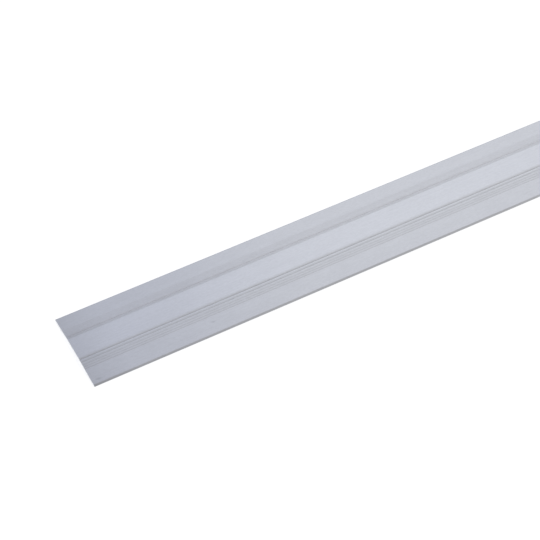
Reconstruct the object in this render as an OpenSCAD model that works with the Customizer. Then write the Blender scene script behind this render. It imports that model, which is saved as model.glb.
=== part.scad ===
// Flat cover strip of extruded aluminium: one sawn length of one section.
// The section lies in the Y-Z plane and is the same all along X. Its underside rests on Z = 0.

/* [Stock] */
// Length that the strip is sawn to
strip_length = 900; // [100:10:2700]
// Width over the two long edges
strip_width = 38; // [32:0.5:60]
// Thickness of the metal under the centre band
wall = 1.05; // [0.9:0.05:1.2]

/* [Long edges] */
// Height of the strip at the top of the round along each long edge
edge_height = 0.5; // [0.4:0.02:0.7]
// Height of the upright land that the round of each long edge ends on
edge_land = 0.05; // [0.03:0.01:0.15]
// Radius of the round along each long edge
nose_radius = 0.95; // [0.8:0.05:1.4]
// Width of the flat foot under each long edge
foot_width = 6.4; // [4:0.2:7]

/* [Top face] */
// Rise of the plain margin from the round of the edge to the ribbed ramp
margin_rise = 0.55; // [0.3:0.05:0.8]
// Rise of the ribbed ramp from the plain margin to the lip of the gutter
ramp_rise = 0.5; // [0.3:0.05:0.8]
// Rise of the centre band above the lip of the gutter
band_lift = 0.1; // [0.06:0.02:0.2]
// Width of the flat of the centre band
band_width = 9.6; // [7:0.2:12]

/* [Shoulders of the centre band] */
// Width of the shallow slope that sinks from the flat of the band on each side
sink_width = 0.52; // [0.3:0.02:0.7]
// Depth of the sink below the band, where the shoulder steps up again
sink_depth = 0.035; // [0.02:0.005:0.06]
// Width of the level crest of the shoulder along the sink
crest_width = 0.05; // [0.03:0.01:0.1]
// Width of the rounded shoulder between its crest and the gutter
shoulder_width = 0.78; // [0.5:0.02:0.9]
// Radius of the rounded shoulder, which falls away to the gutter
shoulder_radius = 6.4; // [5:0.2:12]
// Slope of the rounded shoulder at its crest, in degrees
shoulder_slope = 5; // [3:0.5:7]

/* [Grooves] */
// Width of the gutter between the shoulder and the ribbed ramp
gutter_width = 0.55; // [0.5:0.05:0.9]
// Width of the flat floor of the gutter
gutter_floor = 0.42; // [0.3:0.02:0.46]
// Depth of the gutter below its lip
gutter_depth = 0.11; // [0.08:0.01:0.2]
// Step from the lip of the gutter to the middle of the bead groove
bead_pitch = 1.05; // [0.8:0.05:1.4]
// Width of the bead groove, which sets off the bead along the gutter
bead_groove_width = 0.4; // [0.3:0.05:0.6]
// Depth of the bead groove
bead_groove_depth = 0.045; // [0.03:0.005:0.08]
// Step from the bead groove to the first fine groove
land_pitch = 1.24; // [0.9:0.02:1.4]
// Number of fine grooves on each ramp
rib_count = 3; // [1:1:4]
// Step from one fine groove to the next
rib_pitch = 0.96; // [0.7:0.01:1.2]
// Width of a fine groove
rib_groove_width = 0.3; // [0.2:0.05:0.5]
// Depth of a fine groove
rib_groove_depth = 0.03; // [0.02:0.005:0.06]
// Step from the last fine groove to the foot of the ramp
rib_land = 0.3; // [0.2:0.05:0.8]

/* [Hidden] */
$fn = 192;

// Places across the strip, from its middle outwards
band_half = band_width / 2;
sink_y = band_half + sink_width;
crest_y = sink_y + crest_width;
shoulder_y = crest_y + shoulder_width;
lip_y = shoulder_y + gutter_width;
bead_groove_y = lip_y + bead_pitch;
first_rib_y = bead_groove_y + land_pitch;
last_rib_y = first_rib_y + (rib_count - 1) * rib_pitch;
ramp_foot_y = last_rib_y + rib_land;
edge_y = strip_width / 2;
foot_y = edge_y - foot_width;

// Heights above the floor
ramp_foot_z = edge_height + margin_rise;
lip_z = ramp_foot_z + ramp_rise;
top_z = lip_z + band_lift;
sink_z = top_z - sink_depth;
gutter_z = lip_z - gutter_depth;
roof_z = top_z - wall;

// The roof of the hollow underside runs level below the band and both gutters
roof_half = lip_y + wall / 2;

// Reach of each sloping side of the gutter, from its floor to its edge
gutter_flank = (gutter_width - gutter_floor) / 2;

// Middle of the round of the shoulder, and the height at which it ends on the gutter
shoulder_axis_y = crest_y - shoulder_radius * sin(shoulder_slope);
shoulder_axis_z = top_z - shoulder_radius * cos(shoulder_slope);
shoulder_z = shoulder_axis_z + sqrt(pow(shoulder_radius, 2) - pow(shoulder_y - shoulder_axis_y, 2));

// Reach of the round of a long edge, down to its land and in from the edge
nose_drop = edge_height - edge_land;
nose_run = sqrt(2 * nose_radius * nose_drop - pow(nose_drop, 2));
nose_y = edge_y - nose_run;

// Height of the ribbed ramp at a place across the strip
function ramp_z(y) = lip_z - ramp_rise * (y - lip_y) / (ramp_foot_y - lip_y);

// Radius of a round-bottomed groove from its width and depth
function groove_radius(width, depth) = (width * width / 4 + depth * depth) / (2 * depth);

module both_sides() {
    children();
    mirror([1, 0]) children();
}

// Right half of the outline, without its rounds and the grooves of the ramp
module half_outline() {
    polygon([
        [0, roof_z],
        [0, top_z],
        [band_half, top_z],
        [sink_y, sink_z],
        [sink_y, top_z],
        [shoulder_y, top_z],
        [shoulder_y, shoulder_z],
        [shoulder_y + gutter_flank, gutter_z],
        [lip_y - gutter_flank, gutter_z],
        [lip_y, lip_z],
        [ramp_foot_y, ramp_foot_z],
        [nose_y, edge_height],
        [edge_y, edge_height],
        [edge_y, 0],
        [foot_y, 0],
        [roof_half, roof_z]
    ]);
}

// Cutter that leaves the rounded shoulder, from the middle of its crest out over the gutter
module shoulder_cut() {
    reach = crest_width / 2 + shoulder_width + gutter_flank;
    low_z = (shoulder_z + gutter_z) / 2;
    difference() {
        translate([crest_y - crest_width / 2, low_z]) square([reach, 2 * (top_z - low_z)]);
        translate([shoulder_axis_y, shoulder_axis_z]) circle(shoulder_radius);
    }
}

// Cutter that leaves the round of a long edge above its land
module nose_cut() {
    difference() {
        translate([nose_y, edge_land / 2]) square([2 * nose_run, 2 * edge_height]);
        translate([nose_y, edge_height - nose_radius]) circle(nose_radius);
    }
}

// Cutter of a round-bottomed groove below the ramp
module groove(y, width, depth) {
    r = groove_radius(width, depth);
    translate([y, ramp_z(y) - depth + r]) circle(r);
}

// Cutters of the bead groove and of the fine grooves of the ramp
module grooves() {
    groove(bead_groove_y, bead_groove_width, bead_groove_depth);
    for (i = [0 : rib_count - 1])
        groove(first_rib_y + i * rib_pitch, rib_groove_width, rib_groove_depth);
}

module section() {
    both_sides() {
        difference() {
            half_outline();
            shoulder_cut();
            nose_cut();
            grooves();
        }
    }
}

module extruded_strip() {
    color("silver")
        rotate([90, 0, 90])
            linear_extrude(height = strip_length, center = true)
                section();
}

extruded_strip();
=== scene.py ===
"""Dresses the extruded aluminium cover strip: eased corners, satin mill finish, white studio."""

import math

import bmesh
import bpy
from bpy.props import (
    FloatProperty, FloatVectorProperty, IntProperty, PointerProperty, StringProperty)
from mathutils import Matrix, Vector


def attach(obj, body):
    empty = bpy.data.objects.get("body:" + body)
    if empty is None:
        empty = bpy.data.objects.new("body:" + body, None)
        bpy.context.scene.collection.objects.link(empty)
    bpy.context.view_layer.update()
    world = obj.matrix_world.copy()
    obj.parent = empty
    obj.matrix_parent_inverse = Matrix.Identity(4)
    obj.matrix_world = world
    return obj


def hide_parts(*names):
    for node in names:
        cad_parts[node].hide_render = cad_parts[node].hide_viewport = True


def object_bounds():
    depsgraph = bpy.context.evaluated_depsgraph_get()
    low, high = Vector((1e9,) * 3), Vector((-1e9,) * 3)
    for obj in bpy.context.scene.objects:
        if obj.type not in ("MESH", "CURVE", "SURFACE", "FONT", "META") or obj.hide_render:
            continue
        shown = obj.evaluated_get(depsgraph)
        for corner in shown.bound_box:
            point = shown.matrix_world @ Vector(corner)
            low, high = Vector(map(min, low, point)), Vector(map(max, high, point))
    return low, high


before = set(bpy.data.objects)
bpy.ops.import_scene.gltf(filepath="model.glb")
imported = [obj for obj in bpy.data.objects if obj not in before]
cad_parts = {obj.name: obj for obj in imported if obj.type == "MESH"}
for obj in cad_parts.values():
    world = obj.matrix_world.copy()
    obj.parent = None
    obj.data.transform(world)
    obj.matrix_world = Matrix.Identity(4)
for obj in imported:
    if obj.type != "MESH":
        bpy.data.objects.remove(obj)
CAD_LOW, CAD_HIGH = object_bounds()

bl_info = {
    "name": "Aluminium cover strip",
    "version": (1, 0, 0),
    "blender": (4, 5, 0),
    "location": "3D View > Sidebar > Cover strip",
    "description": "Dresses a packed length of aluminium cover strip and lights it in a studio",
    "category": "Object",
}

MM = 0.001
NODE = "extruded_strip"
BODY = "root"
NEAR_END_X = CAD_LOW.x

# Clean-up of the copied mesh: points this close are one, faces that meet within this angle too
MERGE_DISTANCE = 0.001 * MM
LEVEL_ANGLE = math.radians(0.5)

# An edge that shifts across the strip by less than this runs along it
ALONG_TOLERANCE = 0.03 * MM

# How strongly wide faces set the shading along their borders, up to 100
FLAT_WEIGHT = 100

# Range that most values of a noise fall in
NOISE_LOW, NOISE_HIGH = 0.3, 0.7

# How many times longer than wide the grain and the saw marks are, and the marks' lean in radians
GRAIN_STRETCH = 2
SAW_MARK_STRETCH = 20
SAW_MARK_LEAN = 0.3

# A face whose normal points this much along X is a sawn end
END_FACING = 0.9

# Strength of the relief on the drawn faces and on the sawn ends, and its height at full strength
LINE_RELIEF = 0.15
SAW_RELIEF = 0.6
RELIEF_HEIGHT = 0.01 * MM

# Places of the scuffs on the top face: from the near end, across the strip, and above the floor
SCUFF_PLACES = ((42.9 * MM, -13.5 * MM, 0.87 * MM), (2.3 * MM, -16.8 * MM, 0.61 * MM))

# How far the grain frays a scuff, and where it starts to fade and ends, as shares of its size
SCUFF_FRAY = 0.6
SCUFF_CORE, SCUFF_RIM = 0.4, 0.8

SENSOR_WIDTH = 36.0
CLIP_START, CLIP_END = 0.01, 100.0


# Small helpers

def linear(hex_colour):
    """Turns an sRGB hex colour into the linear RGBA that a shader takes."""
    parts = [int(hex_colour[i:i + 2], 16) / 255 for i in (1, 3, 5)]
    curve = [c / 12.92 if c <= 0.04045 else ((c + 0.055) / 1.055) ** 2.4 for c in parts]
    return (*curve, 1.0)


def add_node(tree, kind, settings=None, **links):
    """Adds a node, sets its properties and links or fills its inputs by name (_ for a space)."""
    node = tree.nodes.new(kind)
    for name, value in (settings or {}).items():
        setattr(node, name, value)
    for name, value in links.items():
        key = int(name[1:]) if name[1:].isdigit() else name.replace("_", " ")
        if isinstance(value, bpy.types.NodeSocket):
            tree.links.new(value, node.inputs[key])
        else:
            node.inputs[key].default_value = value
    return node


def only_active(obj):
    """Deselects everything and makes one object the selected, active one."""
    bpy.ops.object.select_all(action="DESELECT")
    obj.select_set(True)
    bpy.context.view_layer.objects.active = obj


def new_material(name):
    """An empty node material."""
    material = bpy.data.materials.new(name)
    material.use_nodes = True
    material.node_tree.nodes.clear()
    return material


# Settings

class StripShape(bpy.types.PropertyGroup):
    """Sizes of the fine work on the strip's edges."""
    edge_break: FloatProperty(
        name="Edge break", description="Width of the small round on each sharp corner",
        default=0.016 * MM, unit="LENGTH", precision=6)
    break_segments: IntProperty(
        name="Round steps", description="Faces across each small round", default=3, min=1, max=4)
    corner_angle: FloatProperty(
        name="Corner angle", description="Corners sharper than this get the small round",
        default=math.radians(24), subtype="ANGLE")
    smooth_angle: FloatProperty(
        name="Smooth angle", description="Faces that meet at less than this shade as one surface",
        default=math.radians(35), subtype="ANGLE")
    flat_width: FloatProperty(
        name="Flat width", description="A face wider than this is a flat and shades level",
        default=0.3 * MM, unit="LENGTH", precision=5)


class StripFinish(bpy.types.PropertyGroup):
    """Colours and grain of the metal, and the shade painted into it towards the sawn end."""
    metal_colour: StringProperty(
        name="Metal", description="Colour of the metal, as sRGB hex", default="#D4D6DC")
    roughness: FloatProperty(
        name="Roughness", description="Roughness of the satin surface",
        default=0.33, min=0.0, max=1.0, subtype="FACTOR")
    die_line_pitch: FloatProperty(
        name="Die line pitch", description="Spacing of the fine lines along the strip",
        default=0.35 * MM, unit="LENGTH", precision=5)
    die_line_length: FloatProperty(
        name="Die line length", description="Length over which a fine line comes and goes",
        default=120 * MM, unit="LENGTH")
    line_depth: FloatProperty(
        name="Die line depth", description="Share by which the lines lighten and darken the metal",
        default=0.022)
    grain_size: FloatProperty(
        name="Grain size", description="Size of the even grain of the satin surface",
        default=0.6 * MM, unit="LENGTH", precision=5)
    grain_depth: FloatProperty(
        name="Grain depth", description="Share by which the grain lightens and darkens the metal",
        default=0.035)
    cloud_size: FloatProperty(
        name="Cloud size", description="Size of the faint clouds in the satin surface",
        default=7 * MM, unit="LENGTH")
    cloud_depth: FloatProperty(
        name="Cloud depth", description="Share by which the clouds lighten and darken the metal",
        default=0.01)
    scuff_size: FloatVectorProperty(
        name="Scuff size", description="Length and width of a scuff, and how deep it reaches",
        default=(2.4 * MM, 1.3 * MM, 0.5 * MM), size=3, unit="LENGTH", precision=5)
    scuff_tone: FloatProperty(
        name="Scuff tone", description="Tone of the metal in a scuff, as a share of its own",
        default=0.84)
    # Painted shade: how far from the sawn end and how much the metal's colour is darkened
    painted_shade_length: FloatProperty(
        name="Painted shade length", description="Length over which the metal dulls towards the sawn end",
        default=14 * MM, unit="LENGTH")
    painted_shade_tone: FloatProperty(
        name="Painted shade tone", description="Tone of the metal at the sawn end, as a share of its own",
        default=0.885)
    saw_mark_pitch: FloatProperty(
        name="Saw mark pitch", description="Spacing of the saw marks on the ends",
        default=0.12 * MM, unit="LENGTH", precision=5)
    saw_mark_depth: FloatProperty(
        name="Saw mark depth", description="Share by which saw marks lighten and darken the metal",
        default=0.12)


class StudioStage(bpy.types.PropertyGroup):
    """Floor, light and camera."""
    floor_colour: StringProperty(
        name="Floor", description="Colour of the floor, as sRGB hex", default="#F7F7F7")
    floor_size: FloatProperty(
        name="Floor size", description="Side of the square floor", default=40.0, unit="LENGTH")
    floor_glow: FloatProperty(
        name="Floor glow", description="What the floor adds to its own lit colour to read as white",
        default=0.56)
    room_colour: StringProperty(
        name="Room", description="Colour of the soft light from all round, as sRGB hex",
        default="#B4B4B6")
    bank_power: FloatProperty(
        name="Bank", description="Power of the wide bank of light behind and above the strip",
        default=2.92, subtype="POWER")
    bank_colour: StringProperty(
        name="Bank colour", description="Colour of the wide bank, as sRGB hex", default="#DDE6FF")
    bank_place: FloatVectorProperty(
        name="Bank place", description="Middle of the wide bank, from the strip's near end",
        default=(0.3, 0.84, 0.718), size=3, subtype="TRANSLATION", unit="LENGTH")
    bank_size: FloatVectorProperty(
        name="Bank size", description="Width and height of the wide bank",
        default=(4.0, 0.62), size=2, unit="LENGTH")
    key_power: FloatProperty(
        name="Key", description="Power of the softbox to the right", default=1.65, subtype="POWER")
    softbox_colour: StringProperty(
        name="Softbox colour", description="Colour of the three softboxes, as sRGB hex",
        default="#FCF8E4")
    key_place: FloatVectorProperty(
        name="Key place", description="Middle of the softbox to the right, from the near end",
        default=(1.33, 0.767, 0.655), size=3, subtype="TRANSLATION", unit="LENGTH")
    key_size: FloatVectorProperty(
        name="Key size", description="Width and height of the softbox to the right",
        default=(2.1, 0.76), size=2, unit="LENGTH")
    fill_power: FloatProperty(
        name="Fill", description="Power of the softbox in front of the strip, to the right",
        default=1.5, subtype="POWER")
    fill_place: FloatVectorProperty(
        name="Fill place", description="Middle of the softbox in front, from the strip's near end",
        default=(1.15, -0.9, 0.75), size=3, subtype="TRANSLATION", unit="LENGTH")
    fill_size: FloatVectorProperty(
        name="Fill size", description="Width and height of the softbox in front",
        default=(1.6, 1.4), size=2, unit="LENGTH")
    top_power: FloatProperty(
        name="Top", description="Power of the softbox overhead", default=0.5, subtype="POWER")
    top_place: FloatVectorProperty(
        name="Top place", description="Middle of the softbox overhead, from the strip's near end",
        default=(1.0, 0.05, 1.1), size=3, subtype="TRANSLATION", unit="LENGTH")
    top_size: FloatVectorProperty(
        name="Top size", description="Width and depth of the softbox overhead",
        default=(1.6, 1.0), size=2, unit="LENGTH")
    camera_place: FloatVectorProperty(
        name="Camera place", description="Camera, from the middle of the strip's near end",
        default=(-52.49 * MM, -351.06 * MM, 293.93 * MM), size=3,
        subtype="TRANSLATION", unit="LENGTH")
    camera_aim: FloatVectorProperty(
        name="Camera aim", description="Point the camera looks at, from the middle of the near end",
        default=(69.64 * MM, 0.21 * MM, 0.0), size=3, subtype="TRANSLATION", unit="LENGTH")
    camera_roll: FloatProperty(
        name="Camera roll", description="Lean of the camera to its right",
        default=math.radians(10.562), subtype="ANGLE")
    lens: FloatProperty(
        name="Lens", description="Focal length on a 36 mm sensor",
        default=96.0, subtype="DISTANCE_CAMERA")


# Material of the strip

def mill_aluminium(finish):
    """Mill-finish aluminium: satin, pale and faintly blue, with lines drawn along it by the die."""
    material = new_material("mill_finish_aluminium")
    tree = material.node_tree
    place = add_node(tree, "ShaderNodeTexCoord").outputs["Object"]
    axes = add_node(tree, "ShaderNodeSeparateXYZ", Vector=place).outputs
    normal = add_node(tree, "ShaderNodeNewGeometry").outputs["Normal"]
    facing = add_node(tree, "ShaderNodeSeparateXYZ", Vector=normal).outputs

    # Die lines run along X. Real ones are finer than the render shows, so these are drawn coarser
    across = 1 / finish.die_line_pitch
    drawn = add_node(
        tree, "ShaderNodeMapping", Vector=place,
        Scale=(1 / finish.die_line_length, across, across)).outputs["Vector"]
    lines = add_node(
        tree, "ShaderNodeTexNoise", Vector=drawn,
        Scale=1.0, Detail=3.0, Roughness=0.6).outputs["Fac"]

    # An even grain, a little longer along the strip, and faint clouds
    across = 1 / finish.grain_size
    grown = add_node(
        tree, "ShaderNodeMapping", Vector=place,
        Scale=(across / GRAIN_STRETCH, across, across)).outputs["Vector"]
    grain = add_node(
        tree, "ShaderNodeTexNoise", Vector=grown,
        Scale=1.0, Detail=2.0, Roughness=0.7).outputs["Fac"]
    cloud = add_node(
        tree, "ShaderNodeTexNoise", Vector=place,
        Scale=1 / finish.cloud_size, Detail=1.0).outputs["Fac"]

    # Saw marks run up the ends, leaning a little
    across = 1 / finish.saw_mark_pitch
    sawn = add_node(
        tree, "ShaderNodeMapping", Vector=place, Rotation=(SAW_MARK_LEAN, 0.0, 0.0),
        Scale=(1.0, across, across / SAW_MARK_STRETCH)).outputs["Vector"]
    saw = add_node(tree, "ShaderNodeTexNoise", Vector=sawn, Scale=1.0, Detail=2.0).outputs["Fac"]
    along = add_node(tree, "ShaderNodeMath", {"operation": "ABSOLUTE"}, _0=facing["X"]).outputs[0]
    end_face = add_node(
        tree, "ShaderNodeMath", {"operation": "GREATER_THAN"}, _0=along, _1=END_FACING).outputs[0]

    # Each pattern lightens and darkens the metal by its own share, the saw marks only on the ends
    tones = []
    for noise, share in (
            (lines, finish.line_depth), (grain, finish.grain_depth),
            (cloud, finish.cloud_depth), (saw, finish.saw_mark_depth)):
        tones.append(add_node(
            tree, "ShaderNodeMapRange", Value=noise, From_Min=NOISE_LOW, From_Max=NOISE_HIGH,
            To_Min=1 - share, To_Max=1 + share).outputs["Result"])
    tones.append(add_node(
        tree, "ShaderNodeMix", {"data_type": "FLOAT"},
        Factor=end_face, _2=1.0, _3=tones.pop()).outputs["Result"])

    # Small dark scuffs with a ragged rim, from handling
    length, width, depth = finish.scuff_size
    for x, y, z in SCUFF_PLACES:
        spread = add_node(
            tree, "ShaderNodeMapping", Vector=place,
            Location=(-(NEAR_END_X + x) / length, -y / width, -z / depth),
            Scale=(1 / length, 1 / width, 1 / depth)).outputs["Vector"]
        reach = add_node(
            tree, "ShaderNodeVectorMath", {"operation": "LENGTH"}, _0=spread).outputs["Value"]
        ragged = add_node(
            tree, "ShaderNodeMath", {"operation": "MULTIPLY_ADD"},
            _0=grain, _1=SCUFF_FRAY, _2=reach).outputs[0]
        tones.append(add_node(
            tree, "ShaderNodeMapRange", Value=ragged, From_Min=SCUFF_CORE, From_Max=SCUFF_RIM,
            To_Min=finish.scuff_tone, To_Max=1.0).outputs["Result"])

    # Painted shade: the metal's colour is darkened towards the sawn end that shows
    from_end = add_node(
        tree, "ShaderNodeMath", {"operation": "SUBTRACT"}, _0=axes["X"], _1=NEAR_END_X).outputs[0]
    tones.append(add_node(
        tree, "ShaderNodeMapRange", Value=from_end, From_Min=0.0, From_Max=finish.painted_shade_length,
        To_Min=finish.painted_shade_tone, To_Max=1.0).outputs["Result"])

    tone = tones[0]
    for other in tones[1:]:
        tone = add_node(
            tree, "ShaderNodeMath", {"operation": "MULTIPLY"}, _0=tone, _1=other).outputs[0]
    colour = add_node(
        tree, "ShaderNodeVectorMath", {"operation": "SCALE"},
        _0=linear(finish.metal_colour)[:3], Scale=tone).outputs["Vector"]

    # The die lines and the saw marks also stand in low relief
    relief = add_node(
        tree, "ShaderNodeMix", {"data_type": "FLOAT"},
        Factor=end_face, _2=lines, _3=saw).outputs["Result"]
    strength = add_node(
        tree, "ShaderNodeMapRange", Value=end_face,
        To_Min=LINE_RELIEF, To_Max=SAW_RELIEF).outputs["Result"]
    bump = add_node(
        tree, "ShaderNodeBump", Height=relief, Strength=strength,
        Distance=RELIEF_HEIGHT).outputs["Normal"]
    shader = add_node(
        tree, "ShaderNodeBsdfPrincipled", Base_Color=colour, Metallic=1.0,
        Roughness=finish.roughness, Normal=bump)
    add_node(tree, "ShaderNodeOutputMaterial", Surface=shader.outputs["BSDF"])
    return material


def width_across(face):
    """How far a face reaches across the strip."""
    places = [vert.co.y for vert in face.verts]
    return max(places) - min(places)


def mark_creases(mesh, flat_width):
    """Marks lines along the strip where two flats meet as sharp, so that each flat shades level."""
    work = bmesh.new()
    work.from_mesh(mesh)
    for edge in work.edges:
        start, end = (vert.co.y for vert in edge.verts)
        between_flats = all(width_across(face) > flat_width for face in edge.link_faces)
        if abs(start - end) < ALONG_TOLERANCE and between_flats:
            edge.smooth = False
    work.to_mesh(mesh)
    work.free()


class STRIP_OT_dress(bpy.types.Operator):
    """Dress the strip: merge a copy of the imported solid, break its corners and give it its metal"""
    bl_idname = "strip.dress"
    bl_label = "Dress the strip"

    def execute(self, context):
        shape = context.scene.strip_shape
        piece = bpy.data.objects.new("cover_strip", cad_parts[NODE].data.copy())
        context.scene.collection.objects.link(piece)
        piece.data.materials.clear()
        piece.data.materials.append(mill_aluminium(context.scene.strip_finish))
        only_active(piece)
        bpy.ops.object.mode_set(mode="EDIT")
        bpy.ops.mesh.select_all(action="SELECT")
        bpy.ops.mesh.remove_doubles(threshold=MERGE_DISTANCE)
        bpy.ops.mesh.dissolve_limited(angle_limit=LEVEL_ANGLE)
        bpy.ops.object.mode_set(mode="OBJECT")
        bevel = piece.modifiers.new("Edge break", "BEVEL")
        bevel.width = shape.edge_break
        bevel.segments = shape.break_segments
        bevel.limit_method = "ANGLE"
        bevel.angle_limit = shape.corner_angle
        bpy.ops.object.modifier_apply(modifier=bevel.name)
        mark_creases(piece.data, shape.flat_width)
        bpy.ops.object.shade_smooth_by_angle(angle=shape.smooth_angle)
        flats = piece.modifiers.new("Level flats", "WEIGHTED_NORMAL")
        flats.mode = "FACE_AREA"
        flats.weight = FLAT_WEIGHT
        flats.keep_sharp = True
        bpy.ops.object.modifier_apply(modifier=flats.name)
        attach(piece, BODY)
        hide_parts(NODE)
        return {"FINISHED"}


# Studio

def white_floor_material(stage):
    """White seamless paper: a plain matt sheet, with a glow that camera and mirror rays see."""
    material = new_material("white_studio_paper")
    tree = material.node_tree
    rays = add_node(tree, "ShaderNodeLightPath").outputs
    seen = rays["Is Camera Ray"]
    for kind in ("Is Glossy Ray", "Is Transmission Ray"):
        seen = add_node(
            tree, "ShaderNodeMath", {"operation": "MAXIMUM"}, _0=seen, _1=rays[kind]).outputs[0]
    glow = add_node(
        tree, "ShaderNodeMath", {"operation": "MULTIPLY"}, _0=seen, _1=stage.floor_glow)
    paper = add_node(tree, "ShaderNodeBsdfDiffuse", Color=linear(stage.floor_colour))
    shine = add_node(tree, "ShaderNodeEmission", Color=linear("#FFFFFF"), Strength=glow.outputs[0])
    both = add_node(tree, "ShaderNodeAddShader", _0=paper.outputs[0], _1=shine.outputs[0])
    add_node(tree, "ShaderNodeOutputMaterial", Surface=both.outputs[0])
    return material


def add_floor(stage):
    """A wide white floor that the strip lies on."""
    bpy.ops.object.select_all(action="DESELECT")
    bpy.ops.mesh.primitive_plane_add(size=stage.floor_size, location=(0, 0, CAD_LOW.z))
    floor = bpy.context.object
    floor.name = "studio_floor"
    floor.data.materials.append(white_floor_material(stage))


def add_room(scene, stage):
    """Even soft light from all round."""
    world = bpy.data.worlds.new("soft_room")
    world.use_nodes = True
    world.node_tree.nodes.clear()
    light = add_node(
        world.node_tree, "ShaderNodeBackground", Color=linear(stage.room_colour), Strength=1.0)
    add_node(world.node_tree, "ShaderNodeOutputWorld", Surface=light.outputs[0])
    scene.world = world


def add_softbox(scene, name, place, size, power, colour):
    """A large soft light that leans over the strip, unseen by the camera itself."""
    data = bpy.data.lights.new(name, "AREA")
    data.shape = "RECTANGLE"
    data.size, data.size_y = size
    data.energy = power
    data.color = linear(colour)[:3]
    lamp = bpy.data.objects.new(name, data)
    lamp.location = Vector((NEAR_END_X, 0, 0)) + Vector(place)
    lamp.rotation_euler = Vector((0, -place[1], -place[2])).to_track_quat("-Z", "Y").to_euler()
    lamp.visible_camera = False
    scene.collection.objects.link(lamp)


def add_camera(scene, stage):
    """The camera, at the height and lean that the strip is looked at from."""
    data = bpy.data.cameras.new("camera")
    data.sensor_width = SENSOR_WIDTH
    data.lens = stage.lens
    data.clip_start, data.clip_end = CLIP_START, CLIP_END
    camera = bpy.data.objects.new("camera", data)
    near_end = Vector((NEAR_END_X, 0, 0))
    place = near_end + Vector(stage.camera_place)
    aim = near_end + Vector(stage.camera_aim)
    level = (aim - place).to_track_quat("-Z", "Y").to_matrix().to_4x4()
    lean = Matrix.Rotation(-stage.camera_roll, 4, "Z")
    camera.matrix_world = Matrix.Translation(place) @ level @ lean
    scene.collection.objects.link(camera)
    scene.camera = camera


class STRIP_OT_stage(bpy.types.Operator):
    """Set up the white floor, the soft light and the camera"""
    bl_idname = "strip.stage"
    bl_label = "Set up the studio"

    def execute(self, context):
        scene, stage = context.scene, context.scene.strip_stage
        add_floor(stage)
        add_room(scene, stage)
        for name, place, size, power, colour in (
                ("bank", stage.bank_place, stage.bank_size, stage.bank_power, stage.bank_colour),
                ("key", stage.key_place, stage.key_size, stage.key_power, stage.softbox_colour),
                ("fill", stage.fill_place, stage.fill_size, stage.fill_power, stage.softbox_colour),
                ("top", stage.top_place, stage.top_size, stage.top_power, stage.softbox_colour)):
            add_softbox(scene, name, place, size, power, colour)
        add_camera(scene, stage)
        scene.view_settings.view_transform = "Standard"
        return {"FINISHED"}


class STRIP_PT_panel(bpy.types.Panel):
    """The strip's operators and settings"""
    bl_idname = "STRIP_PT_panel"
    bl_label = "Cover strip"
    bl_space_type = "VIEW_3D"
    bl_region_type = "UI"
    bl_category = "Cover strip"

    def draw(self, context):
        for operator, settings in (
                ("strip.dress", ("strip_shape", "strip_finish")),
                ("strip.stage", ("strip_stage",))):
            box = self.layout.box()
            box.operator(operator)
            for name in settings:
                group = getattr(context.scene, name)
                for key in group.__annotations__:
                    box.prop(group, key)


CLASSES = (StripShape, StripFinish, StudioStage, STRIP_OT_dress, STRIP_OT_stage, STRIP_PT_panel)


def register():
    for cls in CLASSES:
        bpy.utils.register_class(cls)
    bpy.types.Scene.strip_shape = PointerProperty(type=StripShape)
    bpy.types.Scene.strip_finish = PointerProperty(type=StripFinish)
    bpy.types.Scene.strip_stage = PointerProperty(type=StudioStage)


def unregister():
    del bpy.types.Scene.strip_stage
    del bpy.types.Scene.strip_finish
    del bpy.types.Scene.strip_shape
    for cls in reversed(CLASSES):
        bpy.utils.unregister_class(cls)


def main():
    register()
    bpy.ops.strip.dress()
    bpy.ops.strip.stage()


if __name__ == "__main__":
    main()
